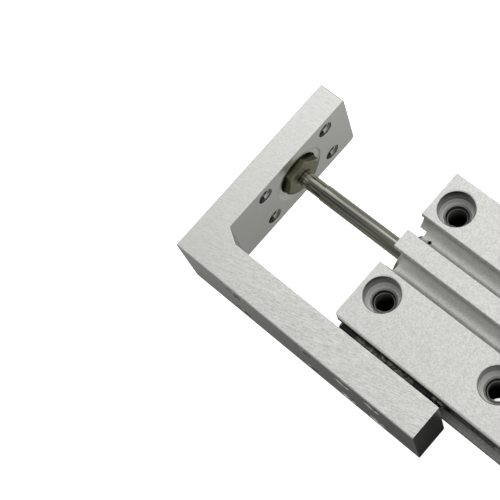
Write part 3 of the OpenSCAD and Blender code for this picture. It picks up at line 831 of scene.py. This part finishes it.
def socket_screw(name, s, screw, shank, knurled=True):
    """A socket head screw with its seat at height 0: soft edge, hex socket, thread and maybe knurls."""
    thread_d, head_d, head_h = screw["thread"], screw["head"], screw["height"]
    key, pitch = screw["key"], screw["pitch"]
    head_r = head_d / 2
    root_r = thread_d / 2 - 0.55 * pitch
    crest_r = thread_d / 2 - 0.02 * MM

    def ridged(r):
        deep = s.knurl_depth if knurled else 0.0
        return lambda angle: r - deep * (0.5 - 0.5 * math.cos(s.knurls * angle))

    def hexagon(angle):
        return key / 2 / math.cos((angle + math.pi / 6) % (math.pi / 3) - math.pi / 6)

    rings = [(root_r * 0.85, -shank)]
    height = -shank + pitch / 2
    while height < -pitch:
        rings += [(root_r, height), (crest_r, height + pitch * 0.45), (crest_r, height + pitch * 0.55)]
        height += pitch
    edge = s.edge * head_d / FIXING_SCREW["head"]
    mouth = key / 2 / math.cos(math.pi / 6) + 0.04 * head_d
    rings += [
        (crest_r, -0.02 * head_h),
        (crest_r, 0.0),
        (head_r - edge * 0.6, 0.0),
        (head_r - edge * 0.15, edge * 0.3),
        (ridged(head_r), edge * 0.8),
        (ridged(head_r), head_h - edge * 1.5),
        (head_r - edge * 0.15, head_h - edge),
        (head_r - edge * 0.45, head_h - edge * 0.3),
        (head_r - edge, head_h),
        (mouth, head_h),
        (lambda angle: hexagon(angle) + 0.004 * head_d, head_h - 0.04 * head_d),
        (hexagon, head_h - 0.06 * head_d),
        (hexagon, head_h * 0.5),
        (0.02 * head_d, head_h * 0.5 - 0.1 * key),
    ]
    return rings_mesh(name, rings, HEAD_FACETS)


def screw_set(name, mesh, places, axis, body, material, replaced):
    """Screws at their places, instead of the plain ones of the frame."""
    sample = link(name + "_sample", mesh)
    host = hole_points(name + "_host", places, axis)
    piece = grow(host, set_tree(), {"Screw": sample, "Material": material}, name, body)
    bpy.data.objects.remove(sample)
    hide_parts(replaced)
    return piece


# ------------------------------------------------------------------ operators
class SLIDETABLE_OT_aluminium(Operator):
    """Finish the body and the table in blasted and milled aluminium"""

    bl_idname = "slidetable.aluminium"
    bl_label = "Aluminium"

    def execute(self, context):
        s = context.scene.slide_finish
        paint(blasted_aluminium("blasted_aluminium", s), "cylinder_body")
        paint(milled_aluminium("milled_aluminium", s), "table_plate")
        return {"FINISHED"}


class SLIDETABLE_OT_guide(Operator):
    """Finish the rail, the carriage, its balls and its black end caps"""

    bl_idname = "slidetable.guide"
    bl_label = "Ball Guide"

    def execute(self, context):
        s = context.scene.slide_finish
        paint(drawn_metal("ground_guide_steel", s.steel, 0.28, s), "guide_rail")
        # Painted shade: the carriage is painted dark for the shade in the gap
        block = drawn_metal("shaded_carriage_steel", s.carriage_shaded_steel, 0.36, s, 0.15 * MM, 0.006 * MM, 0.9)
        paint(block, "guide_block")
        paint(drawn_metal("bearing_ball_steel", s.chrome, 0.10, s, 0.3 * MM, 0.0004 * MM), "guide_balls")
        paint(soft_black("black_moulding", s.plastic, 0.46, 0.12 * MM, s), "front_end_cap", "rear_end_cap")
        paint(soft_black("seal_lip_rubber", s.rubber, 0.62, 0.08 * MM, s), "front_end_seal", "rear_end_seal")
        return {"FINISHED"}


class SLIDETABLE_OT_cylinder(Operator):
    """Finish the covers, bush, seals, rings and bumpers"""

    bl_idname = "slidetable.cylinder"
    bl_label = "Cylinder Insides"

    def execute(self, context):
        s = context.scene.slide_finish
        cover = turned_metal("turned_cover_metal", s.cover_metal, 0.34, s)
        paint(cover, "rod_cover", "head_cover", "piston", "piston_plate")
        paint(speckled("sintered_bronze", s.bronze, (0.12, 0.09, 0.05), 0.40, 1.0, 0.15 * MM), "rod_bush")
        rubber = soft_black("nitrile_rubber", s.rubber, 0.55, 0.10 * MM, s)
        paint(rubber, "rod_seal", "rod_cover_oring", "head_cover_oring", "piston_seal")
        paint(soft_black("bumper_rubber", s.rubber, 0.70, 0.15 * MM, s), "front_bumper", "rear_bumper")
        bright = turned_metal("bright_plain_steel", s.plain_steel, 0.28, s)
        paint(bright, "rod_cover_ring", "head_cover_ring", "float_washer", "piston_nut")
        paint(speckled("filled_wear_band", s.wear_band, (0.30, 0.27, 0.20), 0.45, 0.0, 0.2 * MM), "wear_ring")
        paint(speckled("magnet_ceramic", s.magnet, (0.02, 0.02, 0.022), 0.42, 0.3, 0.12 * MM), "magnet_ring")
        return {"FINISHED"}


class SLIDETABLE_OT_rod(Operator):
    """Finish the piston rod and its olive nut"""

    bl_idname = "slidetable.rod"
    bl_label = "Rod and Nut"

    def execute(self, context):
        s = context.scene.slide_finish
        paint(polished_rod("hard_chrome", s), "piston_rod")
        paint(turned_metal("olive_nut_steel", s.nut, 0.36, s, 0.16 * MM), "rod_nut")
        return {"FINISHED"}


class SLIDETABLE_OT_threads(Operator):
    """Cut the threads in the mounting holes, the air ports and the table's holes"""

    bl_idname = "slidetable.threads"
    bl_label = "Threads"

    def execute(self, context):
        t = context.scene.slide_threads
        tree = coil_tree()
        start = Vector((0, 0, THREAD_START))
        places = [p + start for name in ("body_holes", "body_middle_holes") for p in pattern(name)]
        deep = SEAT_Z - 2 * THREAD_START
        radius = radius_of("body_holes")
        self.cut(t, tree, "body_hole_threads", places, (0, 0, 1), radius, t.body_pitch, deep, CYLINDER)

        ports = [mount(name) for name in ("front_port", "rear_port")]
        inwards = -Vector(ports[0]["axis"])
        places = [Vector(port["pos_m"]) + inwards * THREAD_START for port in ports]
        deep = ports[0]["dims"]["length_mm"] * MM - PORT_CUT
        radius = ports[0]["dims"]["r_mm"] * MM
        self.cut(t, tree, "port_threads", places, tuple(inwards), radius, t.body_pitch, deep, CYLINDER)

        wall = mount("end_plate_holes")["pos_m"][0] - PLATE_X
        back = Vector((wall - PLATE_START, 0, 0))
        places = [p - back for p in pattern("end_plate_holes")]
        deep = wall - PLATE_CUT
        radius = radius_of("end_plate_holes")
        self.cut(t, tree, "end_plate_threads", places, (1, 0, 0), radius, t.table_pitch, deep, TABLE)

        places = [p - Vector((0, ARM_START, 0)) for p in pattern("arm_holes")]
        self.cut(t, tree, "arm_hole_threads", places, (0, -1, 0), radius, t.table_pitch, ARM_THREAD, TABLE)
        return {"FINISHED"}

    def cut(self, t, tree, name, places, axis, radius, pitch, deep, body):
        """One set of like threads, with the metal of the piece that they are cut in."""
        node, slot = METALS[body]
        values = {
            "Wall Radius": radius,
            "Depth": pitch * t.depth,
            "Pitch": pitch,
            "Turns": (deep - pitch) / pitch,
            "Facets": t.facets,
            "Material": frame["nodes"][node].material_slots[0].material,
        }
        grow(hole_points(name + "_host", places, axis), tree, values, name, body)


class SLIDETABLE_OT_screws(Operator):
    """Fit the detailed socket head screws"""

    bl_idname = "slidetable.screws"
    bl_label = "Socket Screws"

    def execute(self, context):
        s = context.scene.slide_screws
        finish = context.scene.slide_finish
        dark = turned_metal("dark_screw_steel", finish.dark_steel, 0.38, finish, 0.2 * MM)
        head, tall = FIXING_SCREW["head"], FIXING_SCREW["height"]

        lo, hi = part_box("block_screws")
        mesh = socket_screw("arm_screw", s, FIXING_SCREW, hi.y - lo.y - tall)
        columns = (lo.x + head / 2, hi.x - head / 2)
        rows = (lo.z + head / 2, hi.z - head / 2)
        places = [(x, hi.y - tall, z) for x in columns for z in rows]
        screw_set("arm_screws", mesh, places, (0, 1, 0), TABLE, dark, "block_screws")

        lo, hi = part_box("rail_screws")
        mesh = socket_screw("rail_screw", s, FIXING_SCREW, hi.y - lo.y - tall, False)
        first, last = lo.x + head / 2, hi.x - head / 2
        columns = [first + (last - first) * i / (RAIL_SCREWS - 1) for i in range(RAIL_SCREWS)]
        places = [(x, hi.y - tall, AXIS_Z) for x in columns]
        screw_set("rail_fixing_screws", mesh, places, (0, 1, 0), CYLINDER, dark, "rail_screws")

        head, tall = CAP_SCREW["head"], CAP_SCREW["height"]
        lo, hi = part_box("end_cap_screws")
        shank = hi.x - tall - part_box("guide_block")[1].x + CAP_SCREW_BITE
        mesh = socket_screw("cap_screw", s, CAP_SCREW, shank, False)
        middle = (lo.y + hi.y) / 2
        rows = (lo.z + head / 2, hi.z - head / 2)
        ends = [(hi.x - tall, (1, 0, 0)), (lo.x + tall, (-1, 0, 0))]
        places = [(x, middle, z) for x, _ in ends for z in rows]
        axes = [way for _, way in ends for _ in rows]
        screw_set("cap_fixing_screws", mesh, places, axes, TABLE, dark, "end_cap_screws")

        tall = LOW_SCREW["height"]
        lo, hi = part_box("rod_end_screw")
        mesh = socket_screw("end_screw", s, LOW_SCREW, hi.x - lo.x - tall)
        places = [(hi.x - tall, AXIS_Y, AXIS_Z)]
        screw_set("rod_fixing_screw", mesh, places, (1, 0, 0), TABLE, dark, "rod_end_screw")
        return {"FINISHED"}


class SLIDETABLE_OT_studio(Operator):
    """Set the floor, the lights and the camera"""

    bl_idname = "slidetable.studio"
    bl_label = "Studio"

    def execute(self, context):
        s = context.scene.slide_studio
        scene = context.scene
        scene.view_settings.view_transform = "Standard"
        self.floor(s)
        self.shade(s)
        self.sky(scene, s)
        self.softbox("key_softbox", KEY_PLACE, KEY_SIDE, s.key_power)
        self.softbox("side_softbox", FILL_PLACE, FILL_SIDE, s.fill_power)
        data = bpy.data.cameras.new("studio_camera")
        data.lens = s.lens
        data.clip_start, data.clip_end = 0.01, 20.0
        camera = link("studio_camera", data)
        camera.location = s.camera_place
        camera.rotation_mode = "QUATERNION"
        camera.rotation_quaternion = Quaternion(s.camera_turn)
        scene.camera = camera
        return {"FINISHED"}

    def card(self, name, sheets, height, material):
        """Level rectangles, each from its lowest to its highest x and then y."""
        corners = []
        for x0, x1, y0, y1 in sheets:
            corners += [(x0, y0, height), (x1, y0, height), (x1, y1, height), (x0, y1, height)]
        faces = [tuple(range(i, i + 4)) for i in range(0, len(corners), 4)]
        mesh = bpy.data.meshes.new(name)
        mesh.from_pydata(corners, [], faces)
        mesh.materials.append(material)
        return link(name, mesh)

    def floor(self, s):
        """A plain pale floor under the body."""
        material, w = new_material("pale_floor")
        tone = blend_colour(w, noise(w, place(w), 6.0), rgba(s.floor_colour, 0.99), rgba(s.floor_colour))
        close(w, tone, 0.9, 0.0, None, Emission_Color=tone, Emission_Strength=s.floor_glow)
        half = s.floor_size / 2
        ground = self.card("floor", [(-half, half, -half, half)], FLOOR_Z, material)
        ground.visible_glossy = False

    def shade(self, s):
        """A dark card right under the part, as its own shadow is, seen by reflections alone."""
        material, w = new_material("shade_card")
        tone = blend_colour(w, noise(w, place(w), 6.0), rgba((0.01,) * 3), rgba((0.02,) * 3))
        close(w, tone, 0.9, 0.0)
        lo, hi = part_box("cylinder_body")
        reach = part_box("table_plate")[1]
        front, side = reach.x + s.shade_rim, reach.y + s.shade_rim
        sheets = [(lo.x, hi.x, lo.y, side), (hi.x, front, hi.y + ARM_GAP, side)]
        dark = self.card("shade_card", sheets, SHADE_Z, material)
        dark.visible_camera = dark.visible_diffuse = dark.visible_shadow = False

    def sky(self, scene, s):
        """Light that falls off from the port side to the guide side, over a dim glow from below."""
        world = bpy.data.worlds.new("studio_sky")
        world.use_nodes = True
        world.node_tree.nodes.clear()
        w = Wire(world.node_tree)
        along, across, rise = parts_of(w, w.node("TexCoord", output="Generated"))

        # From above: bands of light across the body, and even light overhead and past both ends
        stops = [((bearing + 1) / 2, [c * level for c in s.sky]) for bearing, level in SKY_LEVELS]
        above = w.node("ValToRGB", {"stops": stops}, {"Fac": across * 0.5 + 0.5})
        overhead = ramp(w, along, 0.20, 0.04) * ramp(w, rise, 0.86, 0.97)
        beside = w.math("MAXIMUM", ramp(w, along, -0.05, -0.30), ramp(w, along, 0.48, 0.62))
        above = blend_colour(w, w.math("MAXIMUM", overhead, beside), above, rgba(s.sky, OPEN_SKY))

        # From below: dark straight down, and weaker to the guide side and past the end plate
        glow = ramp(w, rise, -0.975, -0.83, interpolation_type="SMOOTHSTEP")
        glow = glow * (0.70 - 0.22 * across - 0.42 * along)
        below = blend_colour(w, glow, rgba((0.0,) * 3), rgba(s.ground))
        over = ramp(w, rise, -0.15, 0.05, interpolation_type="SMOOTHSTEP")
        tone = blend_colour(w, over, below, above)

        # The camera sees a plain backdrop in its place
        light = w.node("Background", None, {"Color": tone, "Strength": s.sky_strength})
        plain = w.node("Background", None, {"Color": rgba(s.floor_colour), "Strength": s.backdrop})
        seen = w.node("LightPath", output="Is Camera Ray")
        both = w.node("MixShader", None, {0: seen, 1: light, 2: plain})
        w.node("OutputWorld", None, {"Surface": both})
        scene.world = world

    def softbox(self, name, where, side, power):
        """A square area light that points at the part."""
        data = bpy.data.lights.new(name, "AREA")
        data.shape, data.size, data.energy = "SQUARE", side, power
        lamp = link(name, data)
        lamp.location = where
        aim = Vector(LIGHT_AIM) - Vector(where)
        lamp.rotation_mode = "QUATERNION"
        lamp.rotation_quaternion = aim.to_track_quat("-Z", "Y")


class SLIDETABLE_PT_panel(Panel):
    """Sidebar panel of the slide table's steps"""

    bl_idname = "SLIDETABLE_PT_panel"
    bl_label = "Slide Table"
    bl_space_type = "VIEW_3D"
    bl_region_type = "UI"
    bl_category = "Slide Table"

    def draw(self, context):
        for step in STEPS:
            self.layout.operator(step.bl_idname)
        for holder, label, group in GROUPS:
            box = self.layout.box()
            box.label(text=label)
            for key in group.__annotations__:
                box.prop(getattr(context.scene, holder), key)


STEPS = (
    SLIDETABLE_OT_aluminium,
    SLIDETABLE_OT_guide,
    SLIDETABLE_OT_cylinder,
    SLIDETABLE_OT_rod,
    SLIDETABLE_OT_threads,
    SLIDETABLE_OT_screws,
    SLIDETABLE_OT_studio,
)
GROUPS = (
    ("slide_finish", "Finish", FinishSettings),
    ("slide_threads", "Threads", ThreadSettings),
    ("slide_screws", "Screws", ScrewSettings),
    ("slide_studio", "Studio", StudioSettings),
)
CLASSES = tuple(group for _, _, group in GROUPS) + STEPS + (SLIDETABLE_PT_panel,)


def register():
    for item in CLASSES:
        bpy.utils.register_class(item)
    for holder, _, group in GROUPS:
        setattr(bpy.types.Scene, holder, PointerProperty(type=group))


def unregister():
    for holder, _, _ in GROUPS:
        delattr(bpy.types.Scene, holder)
    for item in reversed(CLASSES):
        bpy.utils.unregister_class(item)


def main():
    register()
    for step in STEPS:
        area, name = step.bl_idname.split(".")
        getattr(getattr(bpy.ops, area), name)()


if __name__ == "__main__":
    main()
